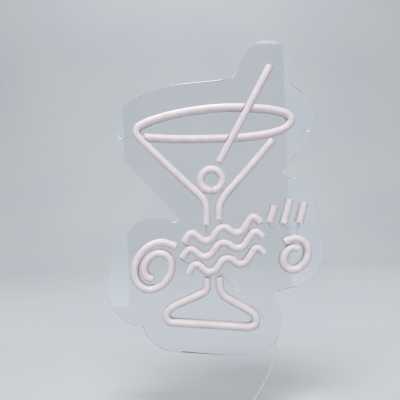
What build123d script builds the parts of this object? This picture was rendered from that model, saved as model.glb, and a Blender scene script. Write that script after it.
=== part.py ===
from build123d import *
from math import cos, degrees, pi, radians, sin, tan
import os

# Wall sign: soft light tubes seated on a clear board.
# +X is right, +Z is up and the front faces -Y. The wall is the plane Y = 0, and the origin is
# midway between the two wall holes. "Height" below is the distance that a thing stands off the wall.

os.makedirs("parts", exist_ok=True)

# ---------------------------------------------------------------- driving dimensions, mm
board_thick = 5.0
corner_radius = 2.0
hole_spacing = 195.0
hole_radius = 2.5

tube_width = 8.0
tube_tall = 15.0
dome_radius = tube_width / 2
seat_depth = 2.5
seat_side_gap = 0.1
joint_gap = 0.1

channel_width = 3.0
channel_tall = 9.5
channel_floor = 1.5
plug_long = 3.0
plug_side_gap = 0.2
ring_plug_inset = 0.4

strip_thick = 0.4
strip_tall = 8.0
strip_off_centre = 0.7
strip_end_gap = 0.5
led_pitch = 25.0 / 3
led_long = 2.2
led_tall = 1.6
led_out = 0.8
led_solder = 0.1

wire_radius = 0.45
wire_bore_gap = 0.05
core_radius = 0.5
core_run = 3.0
lead_width = 2.4

floor_level = -300.0
hank_long = 58.0
hank_wide = 22.0
hank_tall = 8.4
hank_flat = 0.5
hank_centre = -30.0
hank_height = 14.0
tie_thick = 0.8
tie_wide = 3.2

tail_long = 14.0
relief_long = 14.0
relief_small = 1.9
relief_step = 0.8
shell_radius = 4.8
shell_long = 24.0
shell_edge = 0.8
socket_radius = 2.9
socket_deep = 9.5
insert_wall = 0.7
insert_back = 3.0
insert_recess = 0.4
contact_thick = 0.35
contact_recess = 1.2
pin_radius = 1.0
pin_recess = 1.5
pin_edge = 0.4

# ---------------------------------------------------------------- worked out from them
seat_height = board_thick - seat_depth
channel_middle = seat_height + channel_floor + channel_tall / 2
wire_height = channel_middle
seat_width = tube_width + 2 * seat_side_gap
corridor_width = tube_width + 2 * joint_gap
bend_share = 0.48


def front(height):
    """Plane that stands off the wall, drawn on from the front: X right, Z up."""
    return Plane.XZ.offset(height)


def in_space(x, z, height):
    """Point given by its place in the drawing and its distance from the wall."""
    return (x, -height, z)


def corner_radii(points, share):
    """The widest arc for each corner of a route, as a share of its shorter run."""
    radii = []
    for before, corner, after in zip(points, points[1:], points[2:]):
        run_in = Vector(*corner) - Vector(*before)
        run_out = Vector(*after) - Vector(*corner)
        half_turn = radians(run_in.get_angle(run_out)) / 2
        radii.append(share * min(run_in.length, run_out.length) / tan(half_turn))
    return radii


def bent_line(points, share=bend_share):
    """Line or filleted polyline through a list of points, drawn in the current builder."""
    if len(points) == 2:
        Line(points[0], points[1])
    else:
        FilletPolyline(*points, radius=corner_radii(points, share))


def across(path, where=0):
    """Section plane of a flat path: X across it to its left, Y away from the wall."""
    tangent = path % where
    return Plane(path @ where, x_dir=(-tangent.Z, 0, tangent.X), z_dir=tangent)


def pulled_in(points, at_start, at_end):
    """The same route with its two ends drawn back along their runs."""
    first = Vector(*points[0])
    second = Vector(*points[1])
    last = Vector(*points[-1])
    last_but_one = Vector(*points[-2])
    start = first + (second - first).normalized() * at_start
    end = last + (last_but_one - last).normalized() * at_end
    return [(start.X, start.Y)] + list(points[1:-1]) + [(end.X, end.Y)]


# ---------------------------------------------------------------- the drawing, (X, Z) points
def scroll_points(centre, outer, inner, start_angle, turns, step=40, squeeze=0.9, lean=0.2):
    """Corners of a leaning spiral that winds in, clockwise where its turns are negative."""
    count = round(abs(turns) * 360 / step)
    points = []
    for i in range(count + 1):
        angle = radians(start_angle + turns * 360 * i / count)
        radius = outer + (inner - outer) * i / count
        rise = radius * sin(angle)
        points.append((centre[0] + squeeze * radius * cos(angle) + lean * rise, centre[1] + rise))
    return points


def wave_points(start, corners, half_wave=16.0, rise=10.0, slope=0.22):
    """Corners of a rising wave line, its first one a crest."""
    points = [start]
    side = 1
    for i in range(corners):
        along = half_wave * (i + 0.5)
        points.append((start[0] + along, start[1] + slope * along + side * rise))
        side = -side
    along = half_wave * corners
    points.append((start[0] + along, start[1] + slope * along))
    return points


open_tubes = {
    "rim_front": [(-72, -2.9), (-49, -5.4), (-20, -6.8), (18.4, -7.0)],
    "rim_loop": [
        (18.4, -7.0), (43, -6.0), (62, -3.2), (75.9, 1.6),
        (82.0, 9.8), (76.2, 16.6), (62, 20.9), (36.3, 24.2),
    ],
    "rim_side": [
        (36.3, 24.2), (7, 25.2), (-22, 22.9), (-48, 18.7), (-68, 13.2), (-80.1, 7.4),
        (-80.9, 0.2), (-68.8, -13.2), (-40, -42.8), (-13.5, -69.3), (-10.6, -77.5), (-11.2, -95.9),
    ],
    "stick": [(60.8, 66.4), (4.0, -32.0)],
    "right_side": [(60.4, -10.8), (41, -32.6), (9.2, -66.2), (2.7, -76.0), (2.0, -91.2)],
    "base": [
        (-12.6, -151.4), (-13.4, -165.2), (-21.5, -169.0), (-48.5, -179.6), (-57.6, -186.8),
        (-54.4, -196.4), (-42, -197.3), (9.9, -202.4), (29.2, -205.0), (37.3, -201.2),
        (35.8, -191.0), (18.4, -179.8), (0.6, -169.6), (0.2, -151.4),
    ],
    "scroll": scroll_points((-66, -140), outer=30, inner=11, start_angle=48, turns=1.6),
    "wave_top": wave_points((-35, -113.5), corners=5),
    "wave_middle": wave_points((-38, -130.0), corners=5, half_wave=17.0),
    "wave_bottom": wave_points((-32, -145.8), corners=5),
    "scroll_small": scroll_points((78, -132.5), outer=21, inner=8.5, start_angle=132, turns=-1.2),
    "streak_short": [(60.5, -79), (54.5, -96)],
    "streak_long": [(76.4, -73), (69, -98)],
    "streak_end": [(91.4, -77), (85.2, -98)],
}

ring_tubes = {
    "ring": ((-4.4, -50.0), 11.2),
}
ring_opening = 0.4

# Where the rim meets the stick or the glass's side it is cut to that tube's flank.
stick_line = open_tubes["stick"]
side_line = open_tubes["rim_side"][6:8]
cut_along = {
    "rim_front": [stick_line, side_line],
    "rim_loop": [stick_line],
    "rim_side": [stick_line],
}
plain_gap = plug_long + strip_end_gap
mitre_gap = 9.0
end_gaps = {
    "rim_front": (mitre_gap, mitre_gap),
    "rim_loop": (mitre_gap, mitre_gap),
    "rim_side": (mitre_gap, plain_gap),
}

# Short wires from tube to tube. Each ends on a plug or goes through a flank into the channel.
jumpers = {
    "jumper_ring_left": [(-11.9, -60.4), (-15.3, -65.1)],
    "jumper_ring_right": [(4.5, -59.2), (9.1, -64.0)],
    "jumper_stem_right": [(2.4, -91.3), (2.4, -93.0), (4.8, -95.2), (4.8, -98.8)],
    "jumper_stem_left": [(-11.2, -95.9), (-11.2, -99.5), (-12.4, -105.0), (-12.4, -110.5)],
    "jumper_wave_upper": [(-35.0, -113.5), (-36.2, -115.3), (-31.4, -118.3)],
    "jumper_wave_lower": [(-38.0, -130.0), (-39.2, -131.8), (-30.0, -137.6)],
    "jumper_scroll": [(-43.47, -117.71), (-40.9, -118.9), (-39.4, -122.6), (-36.4, -125.2)],
    "jumper_wave_streak": [(45.0, -95.9), (46.8, -97.75), (50.6, -95.4), (54.9, -89.8)],
    "jumper_streak_short": [(54.5, -96.0), (53.7, -98.6), (58.6, -103.0), (66.4, -102.6), (68.2, -97.8)],
    "jumper_streak_long": [(69.75, -98.36), (69.9, -102.6), (76.2, -103.6), (82.9, -102.6), (84.46, -97.93)],
    "jumper_scroll_small": [(85.87, -98.32), (85.6, -102.4), (83.2, -105.6), (82.6, -110.8)],
    "jumper_base": [(-12.4, -151.4), (-12.4, -146.4)],
}


# ---------------------------------------------------------------- profiles and paths
def open_path(points):
    """Path of an open tube on its seat."""
    with BuildLine(front(seat_height)) as line:
        bent_line(points)
    return line.wire()


def ring_path(centre, radius):
    """Path of a ring tube, its ends meeting at the bottom."""
    opening = degrees(ring_opening / radius)
    with BuildLine(front(seat_height)) as line:
        CenterArc(centre, radius, 270 + opening / 2, 360 - opening)
    return line.wire()


def tube_profile():
    """Upright sides under a round dome."""
    side_top = tube_tall - dome_radius
    with Locations((0, side_top / 2)):
        Rectangle(tube_width, side_top)
    with Locations((0, side_top)):
        Circle(dome_radius)


def box_profile(width, bottom, top, middle=0):
    """Upright rectangle over the path."""
    with Locations((middle, (bottom + top) / 2)):
        Rectangle(width, top - bottom)


tube_paths = {}
strip_paths = {}
for name, points in open_tubes.items():
    start_gap, end_gap = end_gaps.get(name, (plain_gap, plain_gap))
    tube_paths[name] = open_path(points)
    strip_paths[name] = open_path(pulled_in(points, start_gap, end_gap))
for name, (centre, radius) in ring_tubes.items():
    tube_paths[name] = ring_path(centre, radius)
    whole_turn = tube_paths[name].length
    with BuildLine(front(seat_height)) as shorter:
        gap_angle = (ring_plug_inset + plain_gap + ring_opening / 2) / whole_turn * 360
        CenterArc(centre, radius, 270 + gap_angle, 360 - 2 * gap_angle)
    strip_paths[name] = shorter.wire()


def corridor(line):
    """Location, at mid height, of the straight tube that cuts across another."""
    start = Vector(*line[0])
    end = Vector(*line[1])
    middle = (start + end) / 2
    run = end - start
    height = seat_height + tube_tall / 2
    plane = Plane(in_space(middle.X, middle.Y, height), x_dir=(run.X, 0, run.Y), z_dir=(0, -1, 0))
    return plane.location, run.length


# ---------------------------------------------------------------- board
stick_foot = (21.4, 56.5)
stick_right = (83.2, 48.9)
waist_right = (69.7, -45.0)
base_right = (55.3, -171.6)
base_left = (-81.7, -201.9)
inward_corners = [stick_foot, stick_right, waist_right, base_right, base_left]


def board_outline():
    """Six lobes round the drawing, meeting in inward corners."""
    bottom_right = (12.0, -235.2)
    bottom_left = (-41.8, -229.9)
    waist_left = (-46.2, -92.1)
    notch_top = (-40.2, -88.1)
    bottom_run = (-53.8, 5.3)
    Spline(
        stick_foot, (29.0, 68.5), (38.1, 84.2), (52.4, 94.4), (69.5, 93.2),
        (83.1, 83.6), (88.0, 66.3), stick_right,
    )
    Spline(
        stick_right, (96.4, 37.6), (107.0, 19.0), (105.1, -2.3), (92.1, -20.1), (77.7, -34.6),
        waist_right,
    )
    Spline(
        waist_right, (74.5, -49.2), (86.7, -52.1), (100.6, -65.4), (104.7, -83.9),
        (112.4, -124.4), (105.7, -145.6), (90.1, -161.2), (70.5, -167.4), base_right,
    )
    Spline(
        base_right, (61.9, -185.8), (63.9, -201.9), (57.9, -220.0), (44.5, -232.3), (28.0, -236.4),
        bottom_right,
        tangents=[(3, -7), bottom_run],
    )
    Line(bottom_right, bottom_left)
    Spline(
        bottom_left, (-63.1, -225.1), (-78.6, -210.6), base_left,
        tangents=[bottom_run, (-2, 9)],
    )
    Spline(
        base_left, (-97.3, -197.1), (-112.8, -180.4), (-117.7, -158.8), (-113.3, -136.4),
        (-101.7, -111.1), (-84.0, -92.0), (-69.7, -88.1), (-54.0, -89.6), waist_left,
    )
    ThreePointArc(waist_left, (-41.9, -91.9), notch_top)
    Spline(
        notch_top, (-59.2, -65.9), (-91.1, -30.4), (-105.3, -7.0), (-106.3, 11.3),
        (-94.2, 30.7), (-70.2, 43.7), (-31.3, 52.4), (15.0, 55.7), stick_foot,
    )


with BuildPart() as back_board:
    with BuildSketch(front(0)):
        with BuildLine():
            board_outline()
        make_face()
    extrude(amount=board_thick)
    upright_edges = back_board.edges().filter_by(Axis.Y)
    sharp = [
        edge for edge in upright_edges
        if any(abs(edge.center().X - x) + abs(edge.center().Z - z) < 0.1 for x, z in inward_corners)
    ]
    fillet(sharp, corner_radius)
    with Locations(front(0)):
        with Locations((-hole_spacing / 2, 0), (hole_spacing / 2, 0)):
            Cylinder(
                hole_radius, 3 * board_thick,
                align=(Align.CENTER, Align.CENTER, Align.CENTER), mode=Mode.SUBTRACT,
            )
    for path in tube_paths.values():
        with BuildSketch(across(path)):
            box_profile(seat_width, 0, 2 * seat_depth)
        sweep(path=path, mode=Mode.SUBTRACT)
back_board.part.label = "back_board"
export_step(back_board.part, "parts/back_board.step")


# ---------------------------------------------------------------- tubes with their strips
def wire_solid(points, radius):
    """Round wire along a flat route half way up the tubes."""
    with BuildPart() as wire:
        with BuildLine(front(wire_height)) as line:
            bent_line(points)
        with BuildSketch(across(line.wire())):
            Circle(radius)
        sweep(path=line.wire())
    return wire.part


wire_bores = [wire_solid(points, wire_radius + wire_bore_gap) for points in jumpers.values()]


def joint_cuts(name):
    """Room for the straight tubes that this one is cut against."""
    for line in cut_along.get(name, []):
        place, length = corridor(line)
        with Locations(place):
            Box(length + tube_tall, corridor_width, 2 * tube_tall, mode=Mode.SUBTRACT)


for name, path in tube_paths.items():
    with BuildPart() as sleeve:
        with BuildSketch(across(path)):
            tube_profile()
        sweep(path=path)
        with BuildSketch(across(path)):
            box_profile(channel_width, channel_floor, channel_floor + channel_tall)
        sweep(path=path, mode=Mode.SUBTRACT)
        joint_cuts(name)
        for bore in wire_bores:
            if path.distance_to(bore) < tube_width:
                add(bore, mode=Mode.SUBTRACT)
    sleeve.part.label = "sleeve_" + name
    export_step(sleeve.part, "parts/sleeve_" + name + ".step")

strip_bottom = channel_floor + (channel_tall - strip_tall) / 2
for name, path in strip_paths.items():
    with BuildPart() as strip:
        with BuildSketch(across(path)):
            box_profile(strip_thick, strip_bottom, strip_bottom + strip_tall, -strip_off_centre)
        sweep(path=path)
    strip.part.label = "led_strip_" + name
    export_step(strip.part, "parts/led_strip_" + name + ".step")

led_places = []
led_across = -strip_off_centre + strip_thick / 2 + led_solder + led_out / 2
for path in strip_paths.values():
    count = int((path.length - led_pitch) / led_pitch) + 1
    spare = path.length - (count - 1) * led_pitch
    for i in range(count):
        section = across(path, (spare / 2 + i * led_pitch) / path.length)
        middle = section.from_local_coords((led_across, strip_bottom + strip_tall / 2, 0))
        led_places.append(Plane(middle, x_dir=section.x_dir, z_dir=section.z_dir).location)

with BuildPart() as led_packages:
    with Locations(*led_places):
        Box(led_out, led_tall, led_long)
led_packages.part.label = "led_packages"
export_step(led_packages.part, "parts/led_packages.step")

plug_places = []
for name, path in tube_paths.items():
    inset = ring_plug_inset if name in ring_tubes else 0
    for gap, where in zip(end_gaps.get(name, (plain_gap, plain_gap)), (0, 1)):
        if gap == plain_gap:
            section = across(path, abs(where - (inset + plug_long / 2) / path.length))
            middle = section.from_local_coords((0, channel_middle - seat_height, 0))
            plug_places.append(Plane(middle, x_dir=section.x_dir, z_dir=section.z_dir).location)

with BuildPart() as end_plugs:
    with Locations(*plug_places):
        Box(channel_width - 2 * plug_side_gap, channel_tall - 2 * plug_side_gap, plug_long)
end_plugs.part.label = "end_plugs"
export_step(end_plugs.part, "parts/end_plugs.step")

# ---------------------------------------------------------------- short wires
for name, points in jumpers.items():
    jumper = wire_solid(points, wire_radius)
    jumper.label = name
    export_step(jumper, "parts/" + name + ".step")

# ---------------------------------------------------------------- supply lead
# Route of the lead, (X, Z, height): from where its two cores join, over the board's front and
# edge, then down to the surface below.
lead_share = 0.45
hank_right = hank_centre + hank_long / 2 - hank_flat
hank_left = hank_centre - hank_long / 2 + hank_flat
landing_level = floor_level + tie_thick + lead_width / 2
lead_route = [
    (16.0, -163.5, 7.6),
    (28.0, -175.4, 6.7),
    (40.8, -189.6, 6.5),
    (51.4, -204.4, 6.5),
    (57.4, -220.4, 6.6),
    (56.4, -237.0, 7.0),
    (49.4, -252.0, 7.8),
    (41.4, -266.4, 9.0),
    (32.0, -280.2, 10.6),
    (20.4, -291.4, 12.4),
    (8.5, landing_level, hank_height),
    (hank_right, landing_level, hank_height),
]
core_routes = {
    "supply_core_left": (-0.6, [(0.9, -151.35), (1.1, -149.3), (5.0, -150.6)]),
    "supply_core_right": (0.6, [(-0.4, -151.35), (-0.3, -147.9), (6.8, -149.2)]),
}


def space_route(points):
    return [in_space(x, z, height) for x, z, height in points]


lead_points = space_route(lead_route)
lead_radii = corner_radii(lead_points, lead_share)
with BuildPart() as supply_lead:
    with BuildLine() as line:
        FilletPolyline(*lead_points, radius=lead_radii)
    with BuildSketch(Plane(line.wire() @ 0, z_dir=line.wire() % 0)):
        Circle(lead_width / 2)
    sweep(path=line.wire())
supply_lead.part.label = "supply_lead"
export_step(supply_lead.part, "parts/supply_lead.step")
lead_section = pi * (lead_width / 2) ** 2
print("lead arcs, mm:", [round(radius, 1) for radius in lead_radii])
lead_length = line.wire().length
print("lead length, mm:", round(lead_length, 1))
print("lead volume over section times length:", supply_lead.part.volume / (lead_section * lead_length))

lead_start = Vector(*lead_points[0])
lead_way = (Vector(*lead_points[1]) - lead_start).normalized()
lead_side = lead_way.cross(Vector(0, -1, 0)).normalized()
for name, (side, start_points) in core_routes.items():
    core_end = lead_start - lead_side * side
    before_end = core_end - lead_way * core_run
    core_points = [in_space(x, z, wire_height) for x, z in start_points]
    core_points += [tuple(before_end), tuple(core_end)]
    with BuildPart() as core:
        with BuildLine() as line:
            FilletPolyline(*core_points, radius=corner_radii(core_points, lead_share))
        with BuildSketch(Plane(line.wire() @ 0, z_dir=line.wire() % 0)):
            Circle(core_radius)
        sweep(path=line.wire())
    core.part.label = name
    export_step(core.part, "parts/" + name + ".step")

# ---------------------------------------------------------------- folded spare length and its tie
hank_bottom = floor_level + tie_thick
hank_middle = (hank_centre, -hank_height)
with BuildPart() as lead_hank:
    with BuildSketch(Plane.XY.offset(hank_bottom)):
        with Locations(hank_middle):
            SlotOverall(hank_long, hank_wide)
            Rectangle(hank_long - 2 * hank_flat, hank_wide, mode=Mode.INTERSECT)
    extrude(amount=hank_tall)
lead_hank.part.label = "lead_hank"
export_step(lead_hank.part, "parts/lead_hank.step")

with BuildPart() as hank_tie:
    with BuildSketch(Plane.YZ.offset(hank_centre - tie_wide / 2)):
        with Locations((-hank_height, hank_bottom + hank_tall / 2)):
            Rectangle(hank_wide + 2 * tie_thick, hank_tall + 2 * tie_thick)
            Rectangle(hank_wide, hank_tall, mode=Mode.SUBTRACT)
    extrude(amount=tie_wide)
hank_tie.part.label = "hank_tie"
export_step(hank_tie.part, "parts/hank_tie.step")

# ---------------------------------------------------------------- in-line socket at the far end
socket_level = floor_level + shell_radius
relief_start = hank_left - tail_long
shell_start = relief_start - relief_long
shell_end = shell_start - shell_long


def toward_socket(x):
    """Plane across the socket's axis, facing its mouth."""
    return Plane((x, -hank_height, socket_level), x_dir=(0, 1, 0), z_dir=(-1, 0, 0))


with BuildPart() as lead_tail:
    with BuildSketch(toward_socket(hank_left)):
        Circle(lead_width / 2)
    extrude(amount=tail_long)
lead_tail.part.label = "lead_tail"
export_step(lead_tail.part, "parts/lead_tail.step")

with BuildPart() as strain_relief:
    with BuildSketch(toward_socket(relief_start)):
        Circle(relief_small)
    with BuildSketch(toward_socket(shell_start)):
        Circle(shell_radius - relief_step)
    loft()
strain_relief.part.label = "strain_relief"
export_step(strain_relief.part, "parts/strain_relief.step")

insert_radius = socket_radius + insert_wall
insert_deep = socket_deep + insert_back
with BuildPart() as socket_shell:
    with BuildSketch(toward_socket(shell_start)):
        Circle(shell_radius)
    extrude(amount=shell_long)
    fillet(socket_shell.edges().filter_by(GeomType.CIRCLE), shell_edge)
    with BuildSketch(toward_socket(shell_end + insert_deep)):
        Circle(insert_radius)
    extrude(amount=insert_deep, mode=Mode.SUBTRACT)
socket_shell.part.label = "socket_shell"
export_step(socket_shell.part, "parts/socket_shell.step")

with BuildPart() as socket_insert:
    with BuildSketch(toward_socket(shell_end + insert_deep)):
        Circle(insert_radius)
    extrude(amount=insert_deep - insert_recess)
    with BuildSketch(toward_socket(shell_end + socket_deep)):
        Circle(socket_radius + contact_thick)
    extrude(amount=socket_deep, mode=Mode.SUBTRACT)
    with BuildSketch(toward_socket(shell_end + insert_deep)):
        Circle(pin_radius)
    extrude(amount=insert_deep, mode=Mode.SUBTRACT)
socket_insert.part.label = "socket_insert"
export_step(socket_insert.part, "parts/socket_insert.step")

with BuildPart() as socket_contact:
    with BuildSketch(toward_socket(shell_end + socket_deep)):
        Circle(socket_radius + contact_thick)
        Circle(socket_radius, mode=Mode.SUBTRACT)
    extrude(amount=socket_deep - contact_recess)
socket_contact.part.label = "socket_contact"
export_step(socket_contact.part, "parts/socket_contact.step")

with BuildPart() as socket_pin:
    with BuildSketch(toward_socket(shell_end + insert_deep)):
        Circle(pin_radius)
    extrude(amount=insert_deep - pin_recess)
    fillet(socket_pin.faces().sort_by(Axis.X)[0].edges(), pin_edge)
socket_pin.part.label = "socket_pin"
export_step(socket_pin.part, "parts/socket_pin.step")
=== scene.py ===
import bpy
import bmesh
from math import cos, pi, radians, sin
from mathutils import Matrix, Vector


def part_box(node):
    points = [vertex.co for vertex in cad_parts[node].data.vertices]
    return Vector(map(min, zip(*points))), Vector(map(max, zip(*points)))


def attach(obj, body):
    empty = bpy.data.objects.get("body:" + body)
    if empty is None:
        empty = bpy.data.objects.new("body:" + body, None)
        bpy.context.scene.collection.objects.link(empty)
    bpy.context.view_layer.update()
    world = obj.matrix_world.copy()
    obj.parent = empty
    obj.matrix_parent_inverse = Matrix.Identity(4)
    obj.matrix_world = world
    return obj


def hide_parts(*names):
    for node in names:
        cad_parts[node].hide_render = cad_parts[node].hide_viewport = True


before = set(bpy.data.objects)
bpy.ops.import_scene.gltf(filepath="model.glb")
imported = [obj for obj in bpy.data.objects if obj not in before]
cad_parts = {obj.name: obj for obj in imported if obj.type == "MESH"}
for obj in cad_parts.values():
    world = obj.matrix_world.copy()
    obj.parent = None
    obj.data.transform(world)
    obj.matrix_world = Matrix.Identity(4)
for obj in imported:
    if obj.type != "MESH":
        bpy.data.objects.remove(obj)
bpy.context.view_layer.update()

# Wall sign of light tubes on a clear board. Metres, +X right, +Z up, the front faces -Y.
# The wall is the plane Y = 0, and the origin is midway between the board's two wall holes.

# ---------------------------------------------------------------- sizes
floor_level = -0.300
board_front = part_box("back_board")[0].y
board_bevel = 0.0007
cut_end_edge = 0.00035
ring_slit_edge = 0.0001
seal_round = 0.0007
seal_proud = 0.00025
board_gap = 0.00004

lead_thick = 0.0012
core_radius = 0.0005
core_height = -0.00875
core_straight = 0.003
core_lap = 0.0006

hank_low, hank_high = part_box("lead_hank")
hank_centre = (hank_low + hank_high) / 2
hank_run = 0.036
fold_outer = 0.0098
fold_inner = 0.0072
hank_turns = 10
layer_pitch = 0.0014
# The lead turns from face on to edge on between these two heights, and lies flat past the last.
turn_start = -0.205
turn_end = -0.262
landing_height = -0.29
landing_x = 0.006

strap_thick = 0.0008
strap_round = 0.00015
strap_outer_round = 0.0018
strap_inner_round = 0.0010

shell_low, shell_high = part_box("socket_shell")
relief_low, relief_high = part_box("strain_relief")
axis_place = (relief_low + relief_high) / 2
shell_radius = (shell_high.z - shell_low.z) / 2
bore_radius = 0.0036
bore_deep = 0.0125
relief_small = 0.0019
relief_large = 0.0040
relief_round = 0.00012
relief_grooves = 5
relief_groove_start = 0.0022
relief_groove_pitch = 0.0023
relief_groove_wide = 0.0011
relief_groove_deep = 0.00045
shell_edge = 0.0008
shell_round = 0.0001
shell_grooves = 5
shell_groove_start = 0.0024
shell_groove_pitch = 0.0018
shell_groove_wide = 0.0009
shell_groove_deep = 0.00035
groove_slope = 0.0001


# ---------------------------------------------------------------- modelling helpers
def only(piece):
    """Selects one piece, with everything else deselected."""
    bpy.ops.object.select_all(action="DESELECT")
    piece.select_set(True)
    bpy.context.view_layer.objects.active = piece


def put_in_scene(name, data):
    piece = bpy.data.objects.new(name, data)
    bpy.context.scene.collection.objects.link(piece)
    return piece


def joined_copy(node_name, piece_name, flat_angle=0.2):
    """A piece with a CAD node's shape, its loose triangles joined and its flat faces made whole."""
    piece = put_in_scene(piece_name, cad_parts[node_name].data.copy())
    piece.data.materials.clear()
    only(piece)
    bpy.ops.mesh.customdata_custom_splitnormals_clear()
    bpy.ops.object.mode_set(mode="EDIT")
    bpy.ops.mesh.select_all(action="SELECT")
    bpy.ops.mesh.remove_doubles(threshold=0.000002)
    if flat_angle:
        bpy.ops.mesh.dissolve_limited(angle_limit=radians(flat_angle))
    bpy.ops.object.mode_set(mode="OBJECT")
    return piece


def softened(piece, width, segments=2, angle=50):
    """Rounds a piece's sharp edges and shades the rest smooth."""
    only(piece)
    bevel = piece.modifiers.new("edge", "BEVEL")
    bevel.width = width
    bevel.segments = segments
    bevel.limit_method = "ANGLE"
    bevel.angle_limit = radians(angle)
    bevel.use_clamp_overlap = False
    bpy.ops.object.modifier_apply(modifier=bevel.name)
    bpy.ops.object.shade_smooth_by_angle(angle=radians(30))
    weighted = piece.modifiers.new("shading", "WEIGHTED_NORMAL")
    weighted.keep_sharp = True
    bpy.ops.object.modifier_apply(modifier=weighted.name)


def finished(piece, material, slot, *nodes):
    """Gives a piece its finish and its body, and hides the CAD nodes that it stands for."""
    piece.data.materials.clear()
    piece.data.materials.append(material)
    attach(piece, "root")
    if nodes:
        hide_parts(*nodes)
    return piece


# ---------------------------------------------------------------- material helpers
def colour(code):
    """Linear colour of an sRGB hex value."""
    parts = [int(code[i:i + 2], 16) / 255 for i in (1, 3, 5)]
    return [c / 12.92 if c <= 0.04045 else ((c + 0.055) / 1.055) ** 2.4 for c in parts] + [1.0]


def add_node(tree, kind, values=None, links=None, **settings):
    """Adds a node with its settings, its unlinked inputs and its links."""
    made = tree.nodes.new(kind)
    for name, value in settings.items():
        setattr(made, name, value)
    for name, value in (values or {}).items():
        made.inputs[name].default_value = value
    for name, socket in (links or {}).items():
        tree.links.new(socket, made.inputs[name])
    return made


def new_material(name, **values):
    """A material with one Principled shader; returns it, its tree, the shader and object places."""
    material = bpy.data.materials.new(name)
    material.use_nodes = True
    tree = material.node_tree
    shader = tree.nodes["Principled BSDF"]
    for socket, value in values.items():
        shader.inputs[socket.replace("_", " ")].default_value = value
    place = add_node(tree, "ShaderNodeTexCoord").outputs["Object"]
    return material, tree, shader, place


def grain(tree, place, size_mm, detail=2.0, stretch=(1, 1, 1)):
    """Noise whose features are about that many millimetres across."""
    scaled = add_node(
        tree, "ShaderNodeMapping", values={"Scale": stretch}, links={"Vector": place},
    )
    return add_node(
        tree, "ShaderNodeTexNoise", values={"Scale": 1000 / size_mm, "Detail": detail},
        links={"Vector": scaled.outputs["Vector"]},
    ).outputs["Fac"]


def between(tree, factor, low, high):
    """A number that runs from low to high as the pattern does."""
    return add_node(
        tree, "ShaderNodeMapRange", values={"From Min": 0.3, "From Max": 0.7, "To Min": low, "To Max": high},
        links={"Value": factor},
    ).outputs["Result"]


def tinted(tree, factor, first, second):
    """A colour that runs from first to second as the pattern does."""
    ramp = add_node(tree, "ShaderNodeValToRGB", links={"Fac": factor})
    ramp.color_ramp.elements[0].position = 0.3
    ramp.color_ramp.elements[0].color = colour(first)
    ramp.color_ramp.elements[1].position = 0.7
    ramp.color_ramp.elements[1].color = colour(second)
    return ramp.outputs["Color"]


def raised(tree, shader, height, depth_mm, strength=1.0):
    """Bump of that depth on a shader."""
    bump = add_node(
        tree, "ShaderNodeBump", values={"Strength": strength, "Distance": depth_mm / 1000},
        links={"Height": height},
    )
    tree.links.new(bump.outputs["Normal"], shader.inputs["Normal"])


# ---------------------------------------------------------------- finishes
def clear_cast_acrylic():
    """Cast acrylic sheet, polished: clear as glass, with the faint haze of handling."""
    material, tree, shader, place = new_material(
        "clear_cast_acrylic", Transmission_Weight=1.0, IOR=1.49, Base_Color=colour("#F7FAFC"),
    )
    haze = grain(tree, place, 45, detail=3)
    tree.links.new(between(tree, haze, 0.01, 0.035), shader.inputs["Roughness"])
    return material


def cut_edge_painted_light():
    """The board's cut edge, with the beam's fine upright lines. Its pale, nearly opaque white is painted
    light: it stands in for the light that the sheet gathers at its edge.
    """
    material, tree, shader, place = new_material(
        "laser_cut_acrylic_edge_painted_light", Transmission_Weight=0.1, IOR=1.49, Base_Color=colour("#F8FAFB"),
    )
    lines = grain(tree, place, 0.5, stretch=(1, 0.05, 1))
    tree.links.new(between(tree, lines, 0.12, 0.3), shader.inputs["Roughness"])
    raised(tree, shader, lines, 0.02)
    return material


def milky_silicone():
    """Extruded milky silicone: light sinks in and glows softly, and the skin is satin."""
    material, tree, shader, place = new_material(
        "milky_extruded_silicone", Subsurface_Weight=0.35, Subsurface_Radius=(1.0, 0.85, 0.8),
        Subsurface_Scale=0.0015, IOR=1.41, Sheen_Weight=0.08, Sheen_Roughness=0.5,
    )
    clouds = grain(tree, place, 9, detail=3)
    tree.links.new(tinted(tree, clouds, "#EAE3E6", "#F2EDED"), shader.inputs["Base Color"])
    tree.links.new(between(tree, clouds, 0.38, 0.48), shader.inputs["Roughness"])
    # Die lines run along the tube, so they change only with the distance from the wall. Real ones
    # are finer than this.
    die_lines = grain(tree, place, 0.6, stretch=(0.02, 1, 0.02))
    raised(tree, shader, die_lines, 0.03)
    return material


def strip_laminate():
    """Flexible circuit laminate: white solder mask with a slight weave."""
    material, tree, shader, place = new_material("strip_white_solder_mask", Roughness=0.35)
    weave = grain(tree, place, 1.2)
    tree.links.new(tinted(tree, weave, "#E9E7DE", "#F3F2EC"), shader.inputs["Base Color"])
    raised(tree, shader, weave, 0.02)
    return material


def led_package():
    """Phosphor gel of an unlit LED package, pale yellow. The white cup round it is too small to show."""
    material, tree, shader, place = new_material("led_phosphor_gel", Roughness=0.25)
    gel = grain(tree, place, 0.8)
    tree.links.new(tinted(tree, gel, "#E7D37A", "#F2E9B8"), shader.inputs["Base Color"])
    return material


def sealing_silicone():
    """Neutral-cure silicone sealant: cloudy white, smooth and wet-looking where it was squeezed out."""
    material, tree, shader, place = new_material(
        "white_sealing_silicone", IOR=1.41, Subsurface_Weight=0.3, Subsurface_Radius=(1.0, 0.9, 0.85),
        Subsurface_Scale=0.001,
    )
    cloud = grain(tree, place, 0.8)
    tree.links.new(tinted(tree, cloud, "#DDD8DC", "#EAE6E9"), shader.inputs["Base Color"])
    tree.links.new(between(tree, cloud, 0.18, 0.32), shader.inputs["Roughness"])
    raised(tree, shader, cloud, 0.05)
    return material


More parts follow.
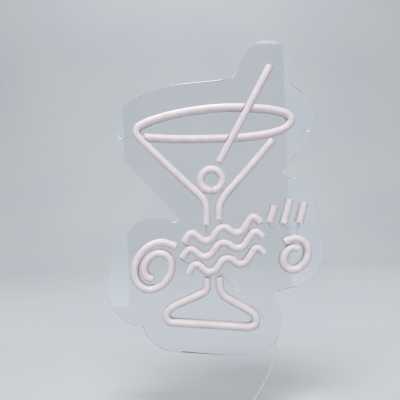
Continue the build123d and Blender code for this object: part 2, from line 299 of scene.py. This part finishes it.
def clear_wire():
    """Hook-up wire: clear PVC over bright tinned strands, which give it a silvery body."""
    material, tree, shader, place = new_material(
        "clear_pvc_on_tinned_strands", Coat_Weight=0.8, Coat_Roughness=0.08, Roughness=0.3,
    )
    strands = grain(tree, place, 0.5)
    tree.links.new(tinted(tree, strands, "#D2D1CF", "#E8E7E4"), shader.inputs["Base Color"])
    return material


def clear_lead():
    """Flat twin lead: clear PVC over two tinned cores, whose strand twist shows along it."""
    material, tree, shader, place = new_material(
        "clear_pvc_twin_lead", Coat_Weight=0.9, Coat_Roughness=0.06, Roughness=0.32,
    )
    along = add_node(tree, "ShaderNodeUVMap", uv_map="lead").outputs["UV"]
    # The lay of the strands is 6 mm in the real cores; it is drawn as slanting bands.
    twist = add_node(
        tree, "ShaderNodeTexWave", values={"Scale": 1.0, "Distortion": 0.4}, links={"Vector": along},
        bands_direction="DIAGONAL",
    ).outputs["Fac"]
    tree.links.new(tinted(tree, twist, "#DAD9D6", "#EEEDEA"), shader.inputs["Base Color"])
    raised(tree, shader, twist, 0.03, strength=0.5)
    return material


def tie_vinyl():
    """Soft white vinyl strap, satin, with a fine embossed grain."""
    material, tree, shader, place = new_material("white_vinyl_strap", Roughness=0.5)
    emboss = grain(tree, place, 0.7)
    tree.links.new(tinted(tree, emboss, "#E2E1DC", "#EFEEEA"), shader.inputs["Base Color"])
    raised(tree, shader, emboss, 0.06)
    return material


def moulded_pvc():
    """Injection-moulded black PVC with a spark-eroded mould texture."""
    material, tree, shader, place = new_material("black_moulded_pvc", Roughness=0.42)
    spark = grain(tree, place, 0.35, detail=4)
    tree.links.new(tinted(tree, spark, "#141415", "#1E1E20"), shader.inputs["Base Color"])
    tree.links.new(between(tree, spark, 0.36, 0.5), shader.inputs["Roughness"])
    raised(tree, shader, spark, 0.04)
    return material


def insert_nylon():
    """Black glass-filled nylon: duller than the shell, with faint flow marks."""
    material, tree, shader, place = new_material("black_nylon_insert", Roughness=0.6)
    flow = grain(tree, place, 2.5)
    tree.links.new(tinted(tree, flow, "#1B1B1B", "#262625"), shader.inputs["Base Color"])
    return material


def plated_contact():
    """Nickel-plated brass, bright with fine turning marks."""
    material, tree, shader, place = new_material("nickel_plated_brass", Metallic=1.0)
    turning = grain(tree, place, 0.3, stretch=(1, 0.1, 0.1))
    tree.links.new(tinted(tree, turning, "#C9C3B6", "#DAD6CC"), shader.inputs["Base Color"])
    tree.links.new(between(tree, turning, 0.16, 0.3), shader.inputs["Roughness"])
    return material


finish = {
    "clear_acrylic": clear_cast_acrylic(),
    "edge": cut_edge_painted_light(),
    "milky_silicone": milky_silicone(),
    "strip_laminate": strip_laminate(),
    "led_package": led_package(),
    "sealing_silicone": sealing_silicone(),
    "clear_wire": clear_wire(),
    "clear_lead": clear_lead(),
    "tie_pvc": tie_vinyl(),
    "moulded_pvc": moulded_pvc(),
    "insert_nylon": insert_nylon(),
    "plated_contact": plated_contact(),
}


# ---------------------------------------------------------------- camera
camera_place = Vector((-0.0170, -0.7050, -0.0703))
camera_roll = radians(-2.13)


def camera():
    data = bpy.data.cameras.new("camera")
    data.lens = 60
    data.sensor_width = 36
    data.clip_start = 0.01
    eye = put_in_scene("camera", data)
    upright = Matrix.Rotation(radians(90), 4, "X") @ Matrix.Rotation(camera_roll, 4, "Z")
    eye.matrix_world = Matrix.Translation(camera_place) @ upright
    bpy.context.scene.camera = eye


camera()


# ---------------------------------------------------------------- supply lead
# Control points of the lead: from where its two cores join, over the board's front and edge, and
# down to the surface below. The hank's turns and the tail follow in the same spline.
lead_route = [
    (0.0160, -0.0076, -0.1635),
    (0.0280, -0.0067, -0.1754),
    (0.0408, -0.0065, -0.1896),
    (0.0514, -0.0065, -0.2044),
    (0.0574, -0.0066, -0.2204),
    (0.0564, -0.0070, -0.2370),
    (0.0494, -0.0078, -0.2520),
    (0.0414, -0.0090, -0.2664),
    (0.0320, -0.0106, -0.2802),
    (0.0204, -0.0130, -0.2912),
    (0.0085, -0.0172, -0.2984),
    (-0.0020, -0.0222, -0.2986),
]


def hank_points():
    """Turns of the folded length, wound outward and inward by turns and each pair a layer higher."""
    left = hank_centre.x - hank_run / 2
    right = hank_centre.x + hank_run / 2
    bottom = hank_low.z + lead_thick / 2

    def turn(i):
        return (fold_outer if i % 4 in (0, 3) else fold_inner), bottom + i // 2 * layer_pitch

    points = []
    for i in range(hank_turns + 1):
        fold, level = turn(i)
        points.append((right, hank_centre.y - fold, level))
        if i == hank_turns:
            points.append((left, hank_centre.y - fold, level))
            break
        for step in range(7):
            angle = -pi / 2 - pi * step / 6
            points.append((left + fold * cos(angle), hank_centre.y + fold * sin(angle), level))
        fold, level = turn(i + 1)
        for step in range(6):
            angle = pi / 2 - pi * step / 6
            points.append((right + fold * cos(angle), hank_centre.y + fold * sin(angle), level))
    return points


def tail_points():
    """From the hank's top layer down to the in-line socket beside it."""
    top = hank_high.z
    y = hank_centre.y
    return [
        (hank_low.x + 0.002, y - fold_inner + 0.0004, top - 0.0008),
        (hank_low.x - 0.005, y - fold_inner + 0.0030, top - 0.0016),
        (hank_low.x - 0.010, y - 0.0008, axis_place.z + 0.0008),
        (relief_high.x - 0.001, y, axis_place.z),
        (relief_high.x - 0.006, y, axis_place.z),
    ]


def nurbs_line(name, points):
    """Points along one smooth open curve with those control points."""
    data = bpy.data.curves.new(name, "CURVE")
    data.dimensions = "3D"
    data.resolution_u = 5
    spline = data.splines.new("NURBS")
    spline.points.add(len(points) - 1)
    for control, place in zip(spline.points, points):
        control.co = (*place, 1.0)
    spline.order_u = 3
    spline.use_endpoint_u = True
    curve = bpy.data.objects.new(name, data)
    mesh = bpy.data.meshes.new_from_object(curve)
    line = [vertex.co.copy() for vertex in mesh.vertices]
    bpy.data.meshes.remove(mesh)
    bpy.data.objects.remove(curve)
    bpy.data.curves.remove(data)
    return line


def smooth_step(value, low, high):
    share = min(1.0, max(0.0, (value - low) / (high - low)))
    return share * share * (3 - 2 * share)


def twin_section():
    """Two round cores' jackets side by side, joined by a web."""
    lobe = lead_thick / 2
    section = []
    for side, first in ((1, -135), (-1, 45)):
        for step in range(7):
            angle = radians(first + 45 * step)
            section.append((side * lobe + lobe * cos(angle), lobe * sin(angle)))
    return section


def tube_mesh(name, line, sections, widths, tube_uv):
    """A closed tube through sections placed along a line, each turned to its own width direction."""
    rings = []
    shell = bmesh.new()
    uv = shell.loops.layers.uv.new(tube_uv)
    along = 0.0
    places = []
    for i, centre in enumerate(line):
        ahead = line[min(i + 1, len(line) - 1)] - line[max(i - 1, 0)]
        ahead.normalize()
        wide = widths(i, centre, ahead)
        wide = (wide - wide.dot(ahead) * ahead).normalized()
        thick = ahead.cross(wide)
        rings.append([shell.verts.new(centre + wide * x + thick * y) for x, y in sections])
        along += (centre - line[i - 1]).length if i else 0.0
        places.append(along)
    count = len(sections)
    for i in range(len(rings) - 1):
        for j in range(count):
            k = (j + 1) % count
            face = shell.faces.new((rings[i][j], rings[i][k], rings[i + 1][k], rings[i + 1][j]))
            face.smooth = True
            for loop, (u, v) in zip(face.loops, ((j, i), (j + 1, i), (j + 1, i + 1), (j, i + 1))):
                loop[uv].uv = (u / count, places[v] * 1000 / 6)
    shell.faces.new(rings[0][::-1])
    shell.faces.new(rings[-1])
    bmesh.ops.recalc_face_normals(shell, faces=shell.faces)
    mesh = bpy.data.meshes.new(name)
    shell.to_mesh(mesh)
    shell.free()
    return mesh


def supply_lead():
    """The flat twin lead: face on over the board, edge on below it, and flat in the hank."""
    line = nurbs_line("lead_line", lead_route + hank_points() + tail_points())
    forward = Vector((0, 1, 0))
    landed = next(i for i, at in enumerate(line) if at.x < landing_x and at.z < landing_height)

    def width_of(i, centre, ahead):
        if i >= landed:
            return ahead.cross(Vector((0, 0, 1)))
        angle = smooth_step(-centre.z, -turn_start, -turn_end) * pi / 2
        in_board = forward.cross(ahead).normalized()
        return in_board * cos(angle) + forward * sin(angle)

    mesh = tube_mesh("supply_lead_twin", line, twin_section(), width_of, "lead")
    piece = put_in_scene("supply_lead_twin", mesh)
    finished(piece, finish["clear_lead"], "clear_lead", "supply_lead", "lead_hank", "lead_tail")
    return piece, line


lead, lead_line = supply_lead()

lead_start = Vector(lead_route[0])
lead_way = (Vector(lead_route[1]) - lead_start).normalized()
lead_side = lead_way.cross(Vector((0, -1, 0))).normalized()
core_starts = {
    "supply_core_left": (-0.0006, [(0.0009, -0.15135), (0.0011, -0.1493), (0.0050, -0.1506)]),
    "supply_core_right": (0.0006, [(-0.0004, -0.15135), (-0.0003, -0.1479), (0.0068, -0.1492)]),
}


def round_section(radius, count=12):
    return [(radius * cos(2 * pi * i / count), radius * sin(2 * pi * i / count)) for i in range(count)]


def supply_core(name, side, start):
    """One of the lead's two cores, from the lead's split into the base tube's end."""
    end = lead_start - lead_side * side
    points = [(x, core_height, z) for x, z in start]
    points += [end - lead_way * core_straight, end + lead_way * core_lap]
    line = nurbs_line(name + "_line", points)
    mesh = tube_mesh(name + "_wire", line, round_section(core_radius),
                     lambda i, centre, ahead: Vector((0, 1, 0)), "lead")
    return finished(put_in_scene(name + "_wire", mesh), finish["clear_lead"], "clear_lead", name)


cores = [supply_core(name, *facts) for name, facts in core_starts.items()]

# ---------------------------------------------------------------- board
def clear_board():
    """The board with its outer edge and wall holes eased, and its cut edge a finish of its own."""
    piece = joined_copy("back_board", "clear_board")
    finished(piece, finish["clear_acrylic"], "clear_acrylic", "back_board")
    # The cut edge's finish is painted light: a pale, nearly opaque white for the light gathered in the
    # sheet.
    piece.data.materials.append(finish["edge"])
    mesh = piece.data
    back_places = {
        (round(v.co.x, 5), round(v.co.z, 5)) for v in mesh.vertices if abs(v.co.y) < 1e-6
    }
    for face in mesh.polygons:
        upright = abs(face.normal.y) < 0.1
        through = all((round(mesh.vertices[v].co.x, 5), round(mesh.vertices[v].co.z, 5)) in back_places
                      for v in face.vertices)
        if upright and through:
            face.material_index = 1
    only(piece)
    bpy.ops.object.mode_set(mode="EDIT")
    bpy.ops.mesh.select_all(action="DESELECT")
    shape = bmesh.from_edit_mesh(mesh)
    for edge in shape.edges:
        flat = [face for face in edge.link_faces if abs(face.normal.y) > 0.9]
        cut = [face for face in edge.link_faces if face.material_index == 1]
        edge.select = len(flat) == 1 and len(cut) == 1
    bmesh.update_edit_mesh(mesh)
    bpy.ops.mesh.bevel(offset=board_bevel, segments=2, clamp_overlap=False, material=1)
    bpy.ops.object.mode_set(mode="OBJECT")
    bpy.ops.object.shade_smooth_by_angle(angle=radians(30))
    for face in mesh.polygons:
        if abs(face.normal.y) > 0.9999:
            face.use_smooth = False
    return piece


clear_board()

# ---------------------------------------------------------------- tubes
def light_tube(node_name, piece_name):
    """A tube with its cut ends and its back edges eased, as extruded and knife-cut silicone is."""
    # Its long faces turn slowly with the bends, so they aren't made whole.
    tube = joined_copy(node_name, piece_name, flat_angle=0)
    softened(tube, ring_slit_edge if node_name == "sleeve_ring" else cut_end_edge, segments=3, angle=50)
    # Presses the back of the tube flat just in front of the board, so the board's seat stays empty.
    for vertex in tube.data.vertices:
        vertex.co.y = min(vertex.co.y, board_front - board_gap)
    return tube


for name in sorted(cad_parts):
    if name.startswith("sleeve_"):
        tube = light_tube(name, "tube_" + name[len("sleeve_"):])
        finished(tube, finish["milky_silicone"], "milky_silicone", name)


# ---------------------------------------------------------------- end seals
def end_seals():
    """The end plugs squeezed full: each fills its channel and stands out of it a little."""
    seals = joined_copy("end_plugs", "end_seals")
    softened(seals, seal_round, segments=3)
    bpy.ops.object.mode_set(mode="EDIT")
    bpy.ops.mesh.select_all(action="SELECT")
    bpy.ops.transform.shrink_fatten(value=seal_proud)
    bpy.ops.object.mode_set(mode="OBJECT")
    return finished(seals, finish["sealing_silicone"], "sealing_silicone", "end_plugs")


end_seals()

# ---------------------------------------------------------------- in-line socket and hank strap
def turned(name, outline):
    """A closed body turned about the socket's axis from an outline of (x, radius) points."""
    mesh = bpy.data.meshes.new(name)
    mesh.from_pydata([(x, 0, radius) for x, radius in outline],
                     [(i, i + 1) for i in range(len(outline) - 1)], [])
    piece = put_in_scene(name, mesh)
    only(piece)
    turn = piece.modifiers.new("turn", "SCREW")
    turn.axis = "X"
    turn.angle = 2 * pi
    turn.steps = turn.render_steps = 56
    turn.use_merge_vertices = True
    turn.merge_threshold = 0.000001
    bpy.ops.object.modifier_apply(modifier=turn.name)
    bpy.ops.object.mode_set(mode="EDIT")
    bpy.ops.mesh.select_all(action="SELECT")
    bpy.ops.mesh.remove_doubles(threshold=0.000002)
    bpy.ops.mesh.normals_make_consistent(inside=False)
    bpy.ops.object.mode_set(mode="OBJECT")
    mesh.transform(Matrix.Translation((0, axis_place.y, axis_place.z)))
    return piece


def groove(start, wide, deep, slope):
    """Places and depths of a groove's four corners along the axis, either way."""
    return (start, 0), (start + slope, deep), (start + wide - slope, deep), (start + wide, 0)


def ribbed_relief():
    """The strain relief: a bending cone cut by grooves."""
    taper = (relief_small - relief_large) / (relief_high.x - relief_low.x)
    outline = [(relief_low.x, 0), (relief_low.x, relief_large)]
    for i in range(relief_grooves):
        start = relief_low.x + relief_groove_start + i * relief_groove_pitch
        for x, cut in groove(start, relief_groove_wide, relief_groove_deep, groove_slope):
            outline.append((x, relief_large + taper * (x - relief_low.x) - cut))
    outline += [(relief_high.x, relief_small), (relief_high.x, 0)]
    relief = turned("ribbed_strain_relief", outline)
    softened(relief, relief_round, angle=40)
    return finished(relief, finish["moulded_pvc"], "moulded_pvc", "strain_relief")


def gripped_shell():
    """The socket's shell: rounded ends, finger grooves round its back half and a bore for the insert."""
    back, mouth = shell_high.x, shell_low.x
    outline = [(back, 0)]
    quarter = [pi / 2 * step / 4 for step in range(5)]
    for angle in quarter:
        outline.append((back - shell_edge * (1 - cos(angle)), shell_radius - shell_edge * (1 - sin(angle))))
    for i in range(shell_grooves):
        start = back - shell_groove_start - i * shell_groove_pitch
        for x, cut in groove(start, -shell_groove_wide, shell_groove_deep, -groove_slope):
            outline.append((x, shell_radius - cut))
    for angle in quarter:
        outline.append((mouth + shell_edge * (1 - sin(angle)), shell_radius - shell_edge * (1 - cos(angle))))
    outline += [(mouth, bore_radius), (mouth + bore_deep, bore_radius), (mouth + bore_deep, 0)]
    shell = turned("gripped_socket_shell", outline)
    softened(shell, shell_round, angle=40)
    return finished(shell, finish["moulded_pvc"], "moulded_pvc", "socket_shell")


def rounded_loop(low, high, inset, radius, steps=6):
    """Points (y, z) round a rectangle that is drawn in by inset and has that corner radius."""
    points = []
    corners = ((high.y - inset, high.z - inset, 0), (low.y + inset, high.z - inset, 1),
               (low.y + inset, low.z + inset, 2), (high.y - inset, low.z + inset, 3))
    for y, z, quarter in corners:
        way_y = -1 if quarter in (0, 3) else 1
        way_z = -1 if quarter in (0, 1) else 1
        for step in range(steps + 1):
            angle = pi / 2 * (quarter + step / steps)
            points.append((
                y + radius * (way_y + cos(angle)),
                z + radius * (way_z + sin(angle)),
            ))
    return points


def hank_strap():
    """The strap round the hank, its four corners rounded inside and out."""
    low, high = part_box("hank_tie")
    shell = bmesh.new()
    loops = []
    rims = (
        (low.x, 0, strap_outer_round), (high.x, 0, strap_outer_round),
        (high.x, strap_thick, strap_inner_round), (low.x, strap_thick, strap_inner_round),
    )
    for x, inset, radius in rims:
        loops.append([shell.verts.new((x, y, z)) for y, z in rounded_loop(low, high, inset, radius)])
    for i, loop in enumerate(loops):
        following = loops[(i + 1) % 4]
        for j in range(len(loop)):
            k = (j + 1) % len(loop)
            shell.faces.new((loop[j], loop[k], following[k], following[j]))
    bmesh.ops.recalc_face_normals(shell, faces=shell.faces)
    mesh = bpy.data.meshes.new("hank_strap")
    shell.to_mesh(mesh)
    shell.free()
    strap = put_in_scene("hank_strap", mesh)
    softened(strap, strap_round, angle=50)
    return finished(strap, finish["tie_pvc"], "tie_pvc", "hank_tie")


socket_parts = [ribbed_relief(), gripped_shell(), hank_strap()]

# ---------------------------------------------------------------- carried-over pieces
carried = {
    "led_strip_": "strip_laminate",
    "led_packages": "led_package",
    "jumper_": "clear_wire",
    "socket_insert": "insert_nylon",
    "socket_contact": "plated_contact",
    "socket_pin": "plated_contact",
}
for name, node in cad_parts.items():
    for start, slot in carried.items():
        if name.startswith(start):
            node.data.materials.clear()
            node.data.materials.append(finish[slot])


# ---------------------------------------------------------------- studio
def studio_sweep():
    """Pale floor that curves up into a pale backdrop."""
    near, far, bend, top = -2.2, 2.4, 0.9, 2.6
    half_wide = 3.2
    outline = [(near, floor_level), (far - bend, floor_level)]
    for step in range(1, 17):
        angle = pi / 2 * step / 16
        outline.append((far - bend + bend * sin(angle), floor_level + bend * (1 - cos(angle))))
    outline.append((far, top))
    vertices = [(x, y, z) for y, z in outline for x in (-half_wide, half_wide)]
    faces = [(2 * i, 2 * i + 1, 2 * i + 3, 2 * i + 2) for i in range(len(outline) - 1)]
    mesh = bpy.data.meshes.new("studio_sweep")
    mesh.from_pydata(vertices, [], faces)
    mesh.polygons.foreach_set("use_smooth", [True] * len(faces))
    sweep = put_in_scene("studio_sweep", mesh)
    material, tree, shader, place = new_material("pale_paper", Roughness=0.9)
    paper = grain(tree, place, 400)
    tree.links.new(tinted(tree, paper, "#C2C5C9", "#C6C9CC"), shader.inputs["Base Color"])
    mesh.materials.append(material)


def softbox(name, place, aim, size, power, tint="#FFFFFF"):
    light = bpy.data.lights.new(name, "AREA")
    light.shape = "RECTANGLE"
    light.size, light.size_y = size
    light.energy = power
    light.color = colour(tint)[:3]
    lamp = put_in_scene(name, light)
    lamp.location = place
    lamp.rotation_euler = (Vector(aim) - Vector(place)).to_track_quat("-Z", "Y").to_euler()
    lamp.visible_camera = False
    return lamp


studio_sweep()
softbox("key", (-0.15, -1.1, 1.5), (0, 0, -0.05), (1.0, 0.6), 22, "#FFF9FA")
softbox("front_fill", (0.0, -2.2, 0.9), (0, 0, -0.1), (1.2, 0.6), 6.5, "#FBF8FF")
# The two tall panels stand where the board mirrors them in its right and left margins.
panels = [
    softbox("panel_right", (0.379, -0.78, 0.0), (0.379, 0, 0.0), (0.4, 0.6), 0.68, "#E2E8FF"),
    softbox("panel_left", (-0.231, -0.78, 0.0), (-0.231, 0, 0.0), (0.1, 0.6), 0.17, "#E2E8FF"),
]
for panel in panels:
    panel.visible_diffuse = False
softbox("backdrop_light", (0, 0.7, 2.0), (0, 1.9, -0.2), (1.8, 0.6), 34)

world = bpy.data.worlds.new("studio_air")
world.use_nodes = True
world.node_tree.nodes["Background"].inputs["Color"].default_value = colour("#D5D9DE")
world.node_tree.nodes["Background"].inputs["Strength"].default_value = 0.38
bpy.context.scene.world = world
bpy.context.scene.view_settings.view_transform = "Standard"
